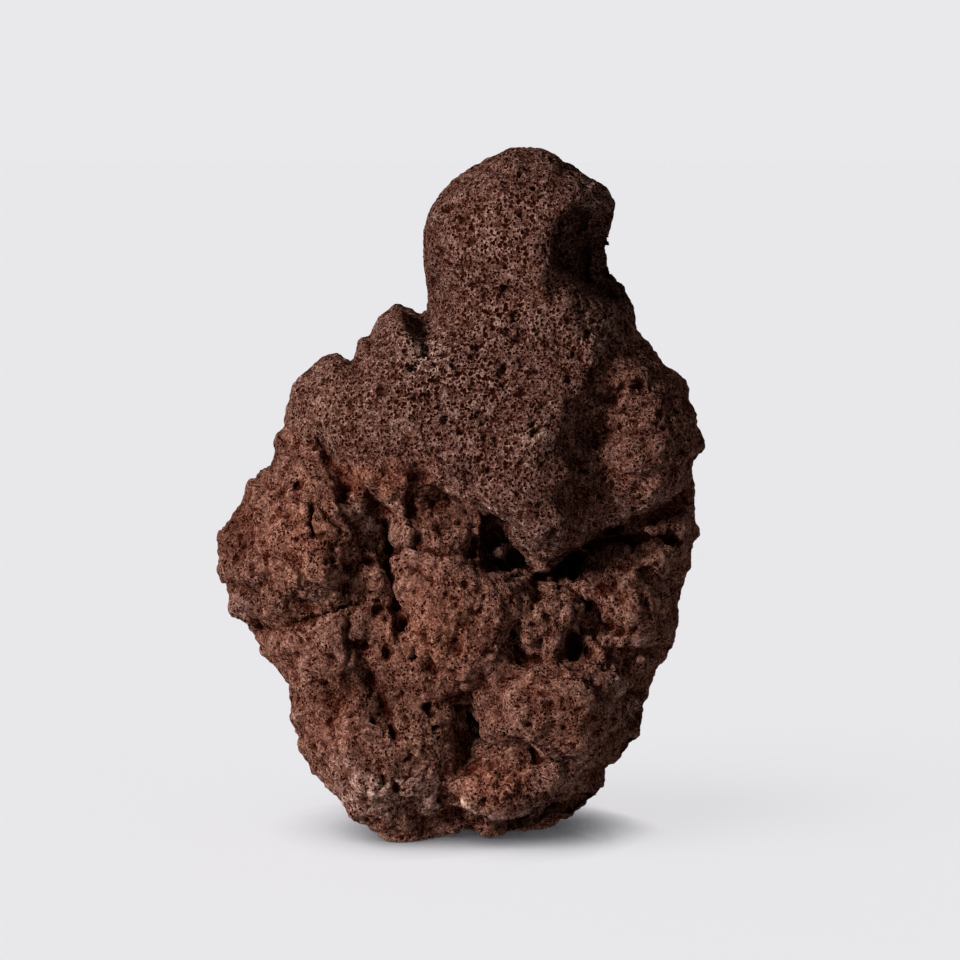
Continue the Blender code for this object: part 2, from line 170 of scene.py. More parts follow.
# Places on the face with a sharp rim: the scoop in the head's right side and its deeper left part, the
# shadowed side below the slab's right edge, the cave left of the slab's tongue, and the undercut low on
# the right.
SCOOP = [
    (58, 312), (70, 309), (90, 306), (90, 286), (92, 268), (84, 264.5), (72.5, 266.5), (61, 273.5),
    (49, 281), (45, 283), (45.5, 292.5), (49, 304),
]
SCOOP_DEEP = [
    (49.5, 304), (58, 310), (63, 308), (65, 290), (65, 272), (61, 273.5), (49, 281), (45, 283),
    (45.5, 292.5),
]
UNDER_SLAB = [
    (49.5, 132.5), (66, 144), (87.5, 147.5), (105, 149), (112, 143.5), (95.5, 135), (85, 130),
    (76.5, 117.5), (66, 120.5), (57.5, 124.5), (48, 128.5),
]
CAVE = [(11, 159), (18, 157), (26, 150.5), (30.5, 141), (34.5, 135), (38, 131), (22, 129), (10.5, 131)]
UNDERCUT = [
    (10, 5.5), (30, 4.5), (42.5, 10.5), (57.5, 17), (64, 29.5), (72.5, 42), (82.5, 57), (91, 64.5),
    (97, 44), (77, 12), (50, -2), (10, -5),
]

# How deep these hollows are, and how dark the painted shade in their colour is.
FRONT_HOLLOWS = [(SCOOP, 6), (SCOOP_DEEP, 9), (UNDER_SLAB, 9), (CAVE, 13), (UNDERCUT, 3)]
FRONT_SHADES = [(SCOOP, 0.6), (UNDER_SLAB, 0.7), (CAVE, 0.75), (UNDERCUT, 0.4)]

# Holes in the face: centre, radii (x, z), depth. A negative depth is a knob.
FRONT_PITS = [
    # the hollows
    ((87, 142), (8, 7), 5), ((-42, 152), (9, 12), 5), ((22, 139), (5, 4), -6),
    ((55, 92), (3.6, 8), 8), ((66, 88), (3.2, 4), 4), ((60, 122), (7, 5), 3),
    # the left lobe
    ((-69, 147), (3.0, 2.0), 4), ((-62, 142.5), (2.6, 2.6), 5), ((-57, 141), (2.4, 3.4), 6),
    ((-64, 134), (2.0, 2.4), 3), ((-57, 131), (2.0, 3.0), 3), ((-89, 194), (2.5, 2.2), 3),
    ((-89, 166), (2.2, 2.6), 4), ((-80, 172), (2.0, 1.6), 3), ((-106, 160), (1.8, 2.2), 2.5),
    ((-51, 92), (6, 3), 3), ((-52, 121), (3, 5), -2), ((-40, 125), (5, 5), -2.5),
    # the band of knobs under the slab
    ((-21, 177), (5.0, 4.8), 5), ((-37, 179.5), (2.4, 2.0), 3), ((-29, 172), (6, 5), -3.0),
    ((-44, 174), (6, 4.5), -2.5), ((-13, 170), (5, 4.5), -3.0), ((-8, 160), (5, 6), -3.0),
    ((-20, 163), (4, 4), -2.5), ((-51, 168), (4, 5), -2.5), ((-31, 160), (4, 4), -2.0),
    # the middle
    ((-37, 88), (2.2, 4.0), 5), ((-11, 132), (1.8, 2.2), 3), ((11, 109.5), (2.0, 2.4), 3),
    ((3, 122), (1.6, 2.0), 2.5), ((-2, 89), (2.6, 2.0), 3), ((34.5, 93), (4.0, 4.2), -3.0),
    ((42, 111), (5.5, 5.5), -2.5), ((45, 96), (5, 6), -2.5), ((20, 119), (6, 5), -2.0),
    ((45, 61.5), (1.8, 1.8), 4), ((-33, 48.5), (2.6, 3.6), 5), ((-17.5, 60.5), (2.2, 2.0), 4),
    ((-68.5, 42), (2.0, 2.0), 3), ((-31.5, 20.5), (3.0, 1.8), 4), ((-27.5, 24.5), (2.0, 1.6), 3),
    ((18, 22), (13, 7), -2.0), ((2, 12), (3.5, 3), -1.5), ((60, 44), (5, 3.5), -2.0),
    # the slab and the head
    ((-26.5, 238), (2.2, 2.0), 3), ((-16.5, 239), (2.0, 2.2), 3), ((-23, 230.5), (2.4, 2.2), 3.5),
    ((-1, 233), (4.0, 2.6), 4), ((21.5, 229.5), (2.2, 3.6), 4), ((-21, 216), (2.0, 2.0), 3),
    ((-15, 217), (2.0, 1.8), 3), ((-7.5, 204), (3.0, 2.0), 4), ((-2.5, 202), (2.6, 2.4), 4),
    ((1, 199.5), (2.0, 2.2), 3), ((23, 320.5), (2.4, 1.6), 3), ((30, 319), (1.8, 1.6), 2.6),
    ((37, 320), (2.0, 1.6), 2.6), ((10, 313), (2.2, 2.0), 3), ((25, 292), (1.8, 2.2), 2.6),
    ((22.5, 281), (1.8, 2.0), 3), ((23, 270), (2.4, 2.4), 3), ((10, 257), (2.0, 1.8), 3),
    ((27.5, 256), (2.6, 2.4), 4), ((25, 248.5), (2.4, 2.4), 4), ((-6, 330), (2, 1.6), 3),
    ((67, 198), (11, 8), 4.5), ((59.5, 162), (7, 9), 4), ((76, 216), (6, 4), 4.5),
    ((105.5, 217.5), (4, 4), 4), ((88, 226), (8, 5), -2.5), ((97, 205), (7, 5), -2.0),
    ((66, 240), (6, 5), -2.0), ((-23, 250), (10, 12), -8),
]

# Where the stone's foot arches off the ground: centre (x, y), radii, height.
FOOT_ARCHES = [
    ((3, -42), (9, 22), 6), ((44, -34), (26, 17), 5), ((-54, -26), (13, 40), 9), ((0, 50), (60, 16), 6),
]
FOOT_TOP = 26.0

# Patches of coarse open froth and of colour on the face: what, centre, radii, strength.
# The tan and dust patches partly lighten shaded places as painted light, and the stain patches mostly
# darken hollows and shaded faces as painted shade.
FRONT_PATCHES = [
    ("open", (24, 292), (26, 26), 0.7), ("open", (26, 256), (22, 22), 0.9),
    ("open", (66, 244), (16, 12), 0.5), ("open", (-6, 222), (36, 26), 1.0),
    ("open", (22, 191), (18, 20), 0.5), ("open", (12, 180), (16, 14), 0.6),
    ("rust", (-22, 178), (11, 8), 0.7), ("rust", (-40, 175), (27, 9), 0.6),
    ("rust", (-75, 149), (22, 28), 0.5), ("rust", (-110, 149), (9, 16), 0.7),
    ("rust", (-13, 100), (30, 24), 0.5), ("rust", (84, 79), (4, 7), 0.8),
    ("rust", (42, 66), (10, 10), 0.4), ("rust", (-62, 60), (14, 16), 0.35),
    ("rust", (17.5, 22), (17, 9), 0.95),
    ("tan", (70, 246), (14, 16), 0.8), ("tan", (-19, 240), (12, 12), 0.8),
    ("tan", (85, 224), (12, 10), 0.5), ("tan", (-65, 209), (16, 16), 0.8),
    ("tan", (40, 194), (9, 13), 0.8), ("tan", (-40, 174), (14, 9), 0.4),
    ("tan", (-76, 170), (10, 12), 0.35), ("tan", (-75, 140), (17, 22), 0.55),
    ("tan", (35, 109), (9, 8), 0.9), ("tan", (100, 108), (8, 8), 0.5), ("tan", (-12, 97), (20, 11), 0.6),
    ("tan", (62, 52), (8, 14), 0.4), ("tan", (-15, 44), (12, 12), 0.6), ("tan", (-37, 17), (14, 9), 0.5),
    ("tan", (2, 12), (6, 4), 0.8),
    ("dust_and_painted_light", (67, 320), (9, 7), 0.5), ("dust_and_painted_light", (68, 250), (12, 14), 0.4),
    ("dust_and_painted_light", (-19, 240), (12, 12), 0.55), ("dust_and_painted_light", (40, 194), (9, 13), 0.4),
    ("dust_and_painted_light", (0, 168), (11, 6), 0.4), ("dust_and_painted_light", (102, 166), (9, 3), 0.5),
    ("dust_and_painted_light", (87, 159.5), (7, 2.6), 0.65), ("dust_and_painted_light", (-47, 158), (12, 7), 0.5),
    ("dust_and_painted_light", (18, 156), (5, 2.6), 0.3), ("dust_and_painted_light", (76, 155), (7, 2.4), 0.75),
    ("dust_and_painted_light", (-43, 153), (9, 8), 0.85), ("dust_and_painted_light", (64, 150.5), (6, 2.2), 0.7),
    ("dust_and_painted_light", (25, 149), (3.0, 2.6), 0.4), ("dust_and_painted_light", (45, 146), (7, 8), 0.2),
    ("dust_and_painted_light", (22.5, 140.5), (4, 3.5), 0.5), ("dust_and_painted_light", (31.5, 140), (2.2, 9), 0.5),
    ("dust_and_painted_light", (31, 128.5), (3, 2.5), 0.9), ("dust_and_painted_light", (106, 119), (7, 10), 0.2),
    ("dust_and_painted_light", (-72.5, 118), (8, 4), 0.8), ("dust_and_painted_light", (-109, 107), (7, 9), 0.5),
    ("dust_and_painted_light", (96, 94), (11, 3), 0.5), ("dust_and_painted_light", (83, 68), (8, 13), 0.9),
    ("dust_and_painted_light", (-90, 40), (10, 20), 0.3), ("dust_and_painted_light", (56, 35), (15, 2.6), 0.85),
    ("dust_and_painted_light", (-60, 30), (12, 8), 0.4), ("dust_and_painted_light", (50, 24), (12, 9), 0.4),
    ("dust_and_painted_light", (-35, 17), (31, 11), 1.0),
    ("stain_and_painted_shade", (62, 285), (16, 16), 0.5), ("stain_and_painted_shade", (-14, 285), (9, 26), 0.45),
    ("stain_and_painted_shade", (68, 283), (18, 20), 0.6), ("stain_and_painted_shade", (-5, 214), (20, 16), 0.2),
    ("stain_and_painted_shade", (92, 190), (12, 12), 0.3), ("stain_and_painted_shade", (-92, 186), (8, 18), 0.4),
    ("stain_and_painted_shade", (66, 186), (12, 22), 0.6), ("stain_and_painted_shade", (1, 179), (10, 8), 0.75),
    ("stain_and_painted_shade", (65, 178), (15, 25), 0.4), ("stain_and_painted_shade", (-20, 176), (4, 4), 0.6),
    ("stain_and_painted_shade", (-3, 160), (10, 10), 0.4), ("stain_and_painted_shade", (-74, 150), (2.5, 7), 0.6),
    ("stain_and_painted_shade", (-43, 148), (10, 11), 0.4), ("stain_and_painted_shade", (-113, 148), (10, 24), 0.75),
    ("stain_and_painted_shade", (102, 146), (12, 6), 0.7), ("stain_and_painted_shade", (82, 140), (15, 8), 0.85),
    ("stain_and_painted_shade", (18, 136), (14, 9), 0.8), ("stain_and_painted_shade", (62, 134), (11, 8), 0.85),
    ("stain_and_painted_shade", (80, 130), (16, 14), 0.45), ("stain_and_painted_shade", (70, 124), (9, 7), 0.6),
    ("stain_and_painted_shade", (-106, 116), (9, 12), 0.5), ("stain_and_painted_shade", (-55, 115), (8, 9), 0.5),
    ("stain_and_painted_shade", (92, 112), (10, 9), 0.3), ("stain_and_painted_shade", (92, 110), (14, 40), 0.15),
    ("stain_and_painted_shade", (-53, 98), (10, 11), 0.5), ("stain_and_painted_shade", (60, 92), (9, 10), 0.1),
    ("stain_and_painted_shade", (-54, 74), (15, 16), 0.4), ("stain_and_painted_shade", (-42, 66), (11, 12), 0.95),
    ("stain_and_painted_shade", (50, 66), (18, 12), 0.15), ("stain_and_painted_shade", (-41, 65), (9, 15), 0.7),
    ("stain_and_painted_shade", (66, 64), (10, 14), 0.3), ("stain_and_painted_shade", (45, 62), (30, 5), 0.25),
    ("stain_and_painted_shade", (8, 46), (12, 6), 0.5), ("stain_and_painted_shade", (54, 10), (22, 9), 0.85),
    ("stain_and_painted_shade", (22, 2), (26, 4), 0.7),
]

# Pale streaks along the face's lips, part dust and part painted light: points, reach and strength.
FRONT_STREAKS = [
    ([(12, 161.5), (18, 157.5), (23.5, 153), (28.5, 146.5), (32.5, 139.5), (35.5, 134)], 1.4, 1.0),
    ([(62, 149.5), (76, 154.5), (86, 158.5), (98, 164), (109, 169)], 1.6, 0.8),
    ([(-1, 14.5), (4, 10.5), (10, 7), (20, 5.5), (30, 6.5), (40, 12.5)], 1.6, 1.0),
    ([(44, 37.5), (56, 36), (70, 36.5)], 1.5, 0.5),
    ([(86, 92.5), (96, 93.5), (105, 97)], 1.2, 0.7),
    ([(-52, 161), (-42, 163), (-30, 164)], 1.5, 0.6),
]

# The back has its own cracks and holes, placed as if seen through the stone from the front.
BACK_LINES = [
    ([(-70, 214), (-48, 204), (-30, 208), (-16, 200)], 1.2, 5, 4),
    ([(-92, 150), (-70, 146), (-52, 152), (-38, 146)], 1.4, 2.0, 5),
    ([(-20, 196), (-14, 180), (-18, 160), (-8, 146)], 2.0, 2.2, 5),
    ([(24, 236), (36, 222), (54, 220), (70, 208)], 1.0, 5, 5),
    ([(30, 200), (34, 184), (28, 168), (36, 150)], 1.8, 1.8, 5),
    ([(-60, 120), (-44, 112), (-30, 116), (-12, 104), (4, 108)], 1.2, 6, 6),
    ([(40, 140), (56, 128), (74, 132), (92, 122)], 1.0, 5, 5),
    ([(-44, 96), (-40, 78), (-46, 62), (-36, 46)], 2.0, 1.6, 5),
    ([(18, 96), (26, 78), (22, 60), (34, 44)], 1.8, 2.0, 5),
    ([(-24, 50), (-4, 40), (18, 44), (36, 34)], 1.2, 5, 5),
    ([(6, 316), (22, 308), (40, 312), (56, 300)], 1.2, 3, 3),
    ([(4, 280), (12, 268), (30, 266)], 1.4, 1.4, 3),
]
BACK_PITS = [
    ((-58, 178), (6, 4), 5), ((-34, 188), (3, 4), 4), ((-76, 168), (3, 3), 4), ((8, 222), (4, 3), 4),
    ((56, 236), (5, 3), 4), ((60, 172), (4, 5), 5), ((84, 176), (3, 4), 4), ((-2, 132), (7, 5), 6),
    ((22, 124), (3, 3), 4), ((-86, 124), (4, 5), 4), ((-66, 96), (5, 4), 4), ((70, 104), (5, 4), 5),
    ((48, 92), (3, 3), 4), ((-12, 76), (5, 6), 5), ((50, 60), (5, 4), 4), ((-56, 44), (4, 3), 4),
    ((14, 24), (6, 3), 4), ((40, 290), (4, 3), 3), ((16, 296), (3, 3), 3), ((-28, 152), (9, 7), -3),
    ((60, 150), (9, 7), -3), ((-50, 140), (8, 7), -2.5), ((8, 186), (9, 7), -3),
    ((-20, 232), (9, 6), -2.5), ((34, 66), (9, 7), -3), ((-24, 90), (8, 6), -2.5),
    ((74, 196), (8, 7), -2.5),
]

# The stone's colour, from the bottom of its pores to the crests between them: dark low down as painted
# shade in pores and cracks, pale on the crests as painted light.
SCORIA_TONES = [
    (0.00, (0.030, 0.0045, 0.0018)),
    (0.22, (0.055, 0.0110, 0.0050)),
    (0.42, (0.130, 0.0480, 0.0320)),
    (0.55, (0.200, 0.0880, 0.0630)),
    (0.70, (0.340, 0.1800, 0.1400)),
    (0.90, (0.550, 0.3400, 0.2800)),
]


def mesh_points(mesh):
    points = np.empty(len(mesh.vertices) * 3)
    mesh.vertices.foreach_get("co", points)
    return points.reshape(-1, 3)


def mesh_normals(mesh):
    normals = np.empty(len(mesh.vertices) * 3)
    mesh.vertex_normals.foreach_get("vector", normals)
    return normals.reshape(-1, 3)


def edge_ends(mesh):
    ends = np.empty(len(mesh.edges) * 2, np.int32)
    mesh.edges.foreach_get("vertices", ends)
    return ends.reshape(-1, 2)


def set_points(mesh, points):
    mesh.vertices.foreach_set("co", points.ravel())
    mesh.update()


def keep_modified_mesh(obj):
    """Makes the mesh that the object's modifiers give its own, and drops the modifiers."""
    graph = bpy.context.evaluated_depsgraph_get()
    made = bpy.data.meshes.new_from_object(obj.evaluated_get(graph))
    obj.modifiers.clear()
    obj.data = made


def remesh(obj, voxel):
    modifier = obj.modifiers.new("remesh", "REMESH")
    modifier.mode = "VOXEL"
    modifier.voxel_size = voxel
    keep_modified_mesh(obj)


def relax(obj, rounds):
    modifier = obj.modifiers.new("relax", "SMOOTH")
    modifier.factor = 0.5
    modifier.iterations = rounds
    keep_modified_mesh(obj)


def smooth_step(low, high, values):
    t = np.clip((values - low) / (high - low), 0.0, 1.0)
    return t * t * (3.0 - 2.0 * t)


def hashed(cells, seed):
    """A repeatable number from 0 to 1 for each whole-numbered cell."""
    x, y, z = cells.astype(np.int64).T
    mixed = x * 73856093 ^ y * 19349663 ^ z * 83492791 ^ (seed + 1) * 40503
    mixed = (mixed ^ (mixed >> 13)) * 1274126177
    mixed = (mixed ^ (mixed >> 16)) * 668265263
    mixed ^= mixed >> 15
    return (mixed & 0xFFFFFF) / float(0x1000000)


def soft_noise(points, wave, seed):
    """Smooth noise, mostly between -1 and 1, whose bumps are about one wave length apart."""
    place = points / wave
    low = np.floor(place)
    part = place - low
    ease = part**3 * (part * (part * 6.0 - 15.0) + 10.0)
    total = np.zeros(len(points))
    for corner in itertools.product((0, 1), repeat=3):
        cell = low + corner
        turn = hashed(cell, seed) * 2.0 * math.pi
        rise = hashed(cell, seed + 101) * 2.0 - 1.0
        flat = np.sqrt(1.0 - rise**2)
        off = part - corner
        slope = off[:, 0] * flat * np.cos(turn) + off[:, 1] * flat * np.sin(turn) + off[:, 2] * rise
        total += slope * np.prod(np.where(corner, ease, 1.0 - ease), axis=1)
    return total * 1.7


def layered_noise(points, wave, seed):
    """Smooth noise with two finer layers, each half as long and half as high as the last."""
    return sum(soft_noise(points, wave / 2**i, seed + 7 * i) / 2**i for i in range(3))


def clumps(points, wave, seed):
    """Rounded lumps from 0 to 1 with sharp creases between them."""
    return np.clip(np.abs(soft_noise(points, wave, seed)) * 2.0, 0.0, 1.4)


def gas_holes(points, spacing, small, large, share, seed):
    """How deep bubbles scattered through the stone cut into each point, in mm."""
    place = points / spacing
    low = np.floor(place)
    deepest = np.zeros(len(points))
    for step in itertools.product((-1, 0, 1), repeat=3):
        cell = low + step
        spot = cell + np.stack([hashed(cell, seed + i) for i in range(3)], axis=1)
        size = small + (large - small) * hashed(cell, seed + 3) ** 2
        depth = np.sqrt(np.clip(size**2 - ((place - spot) ** 2).sum(axis=1) * spacing**2, 0.0, None))
        deepest = np.maximum(deepest, np.where(hashed(cell, seed + 4) < share, depth, 0.0))
    return deepest


def seen_from_front(points):
    """Where points show, (x, z) in mm, on a sheet square to the line of sight through the target."""
    away = points - SIGHT_TARGET
    upward = away[:, 2] * math.cos(SIGHT_TILT) + away[:, 1] * math.sin(SIGHT_TILT)
    depth = away[:, 1] * math.cos(SIGHT_TILT) - away[:, 2] * math.sin(SIGHT_TILT)
    nearer = SIGHT_DISTANCE / (SIGHT_DISTANCE + depth)
    return np.stack([
        away[:, 0] * nearer + SIGHT_TARGET[0],
        upward * nearer + SIGHT_TARGET[2] * math.cos(SIGHT_TILT),
    ], axis=1)


def line_depth(shown, route, reach_left, reach_right):
    """From 0 to 1, how deep each point lies in a crack or ledge along the route."""
    nearest = np.full(len(shown), np.inf)
    side = np.ones(len(shown))
    route = np.array(route, float)
    for a, b in zip(route[:-1], route[1:]):
        along = b - a
        t = np.clip((shown - a) @ along / (along @ along), 0.0, 1.0)
        distance = np.hypot(*(shown - (a + t[:, None] * along)).T)
        closer = distance < nearest
        turned = along[0] * (shown[:, 1] - a[1]) - along[1] * (shown[:, 0] - a[0])
        nearest = np.where(closer, distance, nearest)
        side = np.where(closer, np.sign(turned), side)
    return np.exp(-((nearest / np.where(side > 0, reach_left, reach_right)) ** 1.7))


def spot_depth(shown, centre, radii, steepness=2.0):
    """From 0 to 1, how deep each point lies in an elliptical hole or patch."""
    off = (shown - np.array(centre, float)) / np.array(radii, float)
    return np.exp(-((off**2).sum(axis=1) ** steepness))


def hollow_depth(shown, corners, softness=1.0):
    """1 well inside the corners, 0 outside them, with a steep rim between."""
    corners = np.array(corners, float)
    nearest = np.full(len(shown), np.inf)
    inside = np.zeros(len(shown), bool)
    for a, b in zip(corners, np.roll(corners, -1, axis=0)):
        along = b - a
        t = np.clip((shown - a) @ along / (along @ along), 0.0, 1.0)
        nearest = np.minimum(nearest, np.hypot(*(shown - (a + t[:, None] * along)).T))
        if along[1] != 0.0:
            crossed = (a[1] > shown[:, 1]) != (b[1] > shown[:, 1])
            inside ^= crossed & (shown[:, 0] < a[0] + along[0] * (shown[:, 1] - a[1]) / along[1])
    return smooth_step(-softness, softness, np.where(inside, nearest, -nearest))


def press(obj, lines, hollows, pits, from_front):
    """Presses the cracks, ledges and holes into the front or the back, with broken edges."""
    points = mesh_points(obj.data)
    inward = np.array((0.0, 1.0, -math.tan(SIGHT_TILT))) if from_front else np.array((0.0, -1.0, 0.0))
    facing = -(mesh_normals(obj.data) @ inward)
    near = np.flatnonzero(facing > 0.0)
    shown = seen_from_front(points[near]) if from_front else points[near][:, [0, 2]]
    for wave, sway in ((9.0, 1.1), (3.5, 0.6)):
        shown += sway * np.stack([soft_noise(points[near], wave, seed) for seed in (11, 12)], axis=1)
    depth = np.zeros(len(near))
    for route, reach_left, reach_right, deepest in lines:
        depth += deepest * line_depth(shown, route, reach_left, reach_right)
    for corners, deepest in hollows:
        depth += deepest * hollow_depth(shown, corners)
    for centre, radii, deepest in pits:
        depth += deepest * spot_depth(shown, centre, radii)
    depth *= smooth_step(0.0, 0.55, facing[near])
    points[near] += depth[:, None] * inward
    set_points(obj.data, points)


def arch_foot(obj):
    """Lifts the stone's lowest part off the ground where its foot doesn't touch."""
    points = mesh_points(obj.data)
    near_ground = 1.0 - smooth_step(0.0, FOOT_TOP, points[:, 2])
    lift = np.zeros(len(points))
    for centre, radii, height in FOOT_ARCHES:
        lift = np.maximum(lift, height * spot_depth(points[:, :2], centre, radii, 1.6))
    points[:, 2] += lift * near_ground
    set_points(obj.data, points)


def outline_reach(angles):
    """How far the outline lies from its centre in each direction, in mm."""
    outline = np.array(OUTLINE) - OUTLINE_CENTRE
    steps = np.linspace(0.0, 1.0, 12, endpoint=False)[:, None]
    fine = np.concatenate([a + (b - a) * steps for a, b in zip(outline[:-1], outline[1:])])
    turn = np.unwrap(np.arctan2(fine[:, 1], fine[:, 0]))
    order = np.argsort(turn)
    lowest = turn[order][0]
    return np.interp(lowest + (angles - lowest) % (2 * math.pi), turn[order], np.hypot(*fine.T)[order])


def draw_out_to_outline(points):
    """Moves what shows at the stone's edge to the outline, and what lies further in less."""
    points = points.copy()
    middles = (np.arange(OUTLINE_SECTORS) + 0.5) / OUTLINE_SECTORS * 2 * math.pi - math.pi
    held = (middles > OUTLINE_FOOT[0]) & (middles < OUTLINE_FOOT[1])
    for _ in range(3):
        shown = seen_from_front(points) - OUTLINE_CENTRE
        angles = np.arctan2(shown[:, 1], shown[:, 0])
        reach = np.hypot(*shown.T)
        sector = ((angles + math.pi) / (2 * math.pi) * OUTLINE_SECTORS).astype(int) % OUTLINE_SECTORS
        edge = np.full(OUTLINE_SECTORS, 1.0)
        np.maximum.at(edge, sector, reach)
        change = outline_reach(middles) - edge
        change = np.where(held, 0.0, np.clip(change, -OUTLINE_MOST, OUTLINE_MOST))
        change = sum(np.roll(change, step) for step in range(-1, 2)) / 3.0
        share = np.clip(reach / edge[sector], 0.0, 1.0) ** OUTLINE_FADE
        move = np.interp(angles, middles, change, period=2 * math.pi) * share
        points[:, 0] += move * np.cos(angles)
        points[:, 2] += move * np.sin(angles)
    return points


def slab_share(points, shown, facing):
    """How much each point belongs to the frothy slab and head, from 0 to 1; the rest is crumbly."""
    edge_x, edge_z = zip(*SLAB_EDGE)
    ridge_x, ridge_z = zip(*SLAB_RIDGE)
    wander = 5.0 * soft_noise(points, 16.0, 21) + 2.5 * soft_noise(points, 6.0, 22)
    above = smooth_step(-2.5, 2.5, shown[:, 1] + wander - np.interp(shown[:, 0], edge_x, edge_z))
    right = smooth_step(-6.0, 10.0, shown[:, 0] + wander - np.interp(shown[:, 1], ridge_z, ridge_x))
    front = above * (1.0 - 0.65 * right)
    behind = smooth_step(-0.1, 0.5, layered_noise(points, 70.0, 23)) * 0.9
    turned = smooth_step(-0.6, 0.0, facing)
    return front * turned + behind * (1.0 - turned)


def crumble(points, normals, slab):
    """Raises lumps and opens gas holes. Gives the new points and how hollow each one is, from 0 to 1."""
    body = 1.0 - slab
    bent = points + 3.0 * np.stack([soft_noise(points, 14.0, seed) for seed in (31, 32, 33)], axis=1)
    raised = body * 3.0 * (clumps(bent, 21.0, 41) - 0.55)
    tall = bent * np.array((1.25, 1.0, 0.7))
    raised += (0.3 * slab + body) * 1.2 * (clumps(tall, 9.5, 42) - 0.5)
    raised += (0.35 * slab + body) * 0.65 * (clumps(tall, 4.6, 43) - 0.5)
    raised += slab * layered_noise(points, 22.0, 44)
    raised += 0.35 * soft_noise(points, 2.4, 45)
    coarse = smooth_step(-0.2, 0.5, layered_noise(points, 34.0, 46))
    fine_holes = gas_holes(bent, 3.3, 0.7, 1.9, 0.25 * body + slab * (0.5 + 0.45 * coarse), 51)
    wide_holes = gas_holes(bent, 9.0, 1.4, 3.6, 0.28 * body + slab * (0.12 + 0.5 * coarse), 61)
    cut = np.maximum(fine_holes * 1.25, wide_holes)
    hollow = np.clip(cut / 1.6, 0.0, 1.0)
    off_ground = smooth_step(0.0, 5.0, points[:, 2])
    return points + ((raised - cut) * off_ground)[:, None] * normals, hollow


def thin_out(obj, triangles):
    """Reduces the mesh to at most this many triangles, and leaves more of them on the face."""
    obj.data.calc_loop_triangles()
    spare = obj.vertex_groups.new(name="spare")
    behind = mesh_normals(obj.data)[:, 1] > 0.15
    spare.add(np.flatnonzero(behind).tolist(), 1.0, "REPLACE")
    spare.add(np.flatnonzero(~behind).tolist(), 0.5, "REPLACE")
    modifier = obj.modifiers.new("thin out", "DECIMATE")
    modifier.vertex_group = "spare"
    modifier.vertex_group_factor = FACE_SHARE
    modifier.ratio = triangles / len(obj.data.loop_triangles)
    modifier.use_collapse_triangulate = True
    keep_modified_mesh(obj)
    obj.vertex_groups.clear()


def relief_of(mesh):
    """How far each point stands out of the skin's own smoothed shape, in mm; below 0 in a hollow."""
    points = mesh_points(mesh) / MM
    ends = np.concatenate([edge_ends(mesh), edge_ends(mesh)[:, ::-1]])
    neighbours = np.bincount(ends[:, 0], minlength=len(points))[:, None]
    smooth = points.copy()
    for _ in range(RELIEF_ROUNDS):
        sums = [np.bincount(ends[:, 0], smooth[ends[:, 1], axis], len(points)) for axis in range(3)]
        smooth = 0.5 * smooth + 0.5 * np.stack(sums, axis=1) / neighbours
    return ((points - smooth) * mesh_normals(mesh)).sum(axis=1)


def drop_loose_bits(mesh):
    """Removes the tiny bits that the steps before have cut off from the stone."""
    ends = edge_ends(mesh)
    piece = np.arange(len(mesh.vertices))
    settled = False
    while not settled:
        lowest = piece.copy()
        np.minimum.at(lowest, ends[:, 0], piece[ends[:, 1]])
        np.minimum.at(lowest, ends[:, 1], piece[ends[:, 0]])
        lowest = lowest[lowest]
        settled = bool((lowest == piece).all())
        piece = lowest
    loose = np.flatnonzero(piece != np.bincount(piece).argmax())
    work = bmesh.new()
    work.from_mesh(mesh)
    work.verts.ensure_lookup_table()
    bmesh.ops.delete(work, geom=[work.verts[place] for place in loose], context="VERTS")
    work.to_mesh(mesh)
    work.free()


def write_mask(mesh, name, values):
    attribute = mesh.attributes.new(name, "FLOAT", "POINT")
    attribute.data.foreach_set("value", np.clip(values, 0.0, 1.0).astype(np.float32))


def paint_masks(mesh):
    """Marks where the skin is frothy, rusty, tan, dusty or stained, and where painted light and painted
    shade go on the face, from its places alone.
    """
    points = mesh_points(mesh) / MM
    facing = -mesh_normals(mesh)[:, 1]
    shown = seen_from_front(points)
    ragged = shown + 2.5 * np.stack([layered_noise(points, 9.0, seed) for seed in (71, 72)], axis=1)
    turned = smooth_step(-0.5, -0.1, facing)
    write_mask(mesh, "froth", slab_share(points, shown, facing))
    relief = relief_of(mesh)
    write_mask(mesh, "relief", 0.5 + np.where(relief > 0.0, 0.3, 1.0) * relief / (2.0 * RELIEF_MOST))
    for seed, what in enumerate(("open", "rust", "tan", "dust_and_painted_light", "stain_and_painted_shade")):
        front = np.zeros(len(points))
        for kind, centre, radii, strength in FRONT_PATCHES:
            if kind == what:
                front = np.maximum(front, strength * spot_depth(ragged, centre, radii, 1.2))
        if what == "dust_and_painted_light":
            for route, reach, strength in FRONT_STREAKS:
                streak = line_depth(0.5 * shown + 0.5 * ragged, route, reach, reach)
                front = np.maximum(front, strength * streak)
        # Painted shade: the hollows' corners darken the colour of the scoop, the gap under the slab, the
        # cave and the undercut.
        if what == "stain_and_painted_shade":
            for corners, strength in FRONT_SHADES:
                shade = hollow_depth(0.6 * shown + 0.4 * ragged, corners, 1.2)
                front = np.maximum(front, strength * shade)
        behind = 0.75 * smooth_step(0.15, 0.7, layered_noise(points, 46.0, 81 + seed))
        write_mask(mesh, what, front * turned + behind * (1.0 - turned))


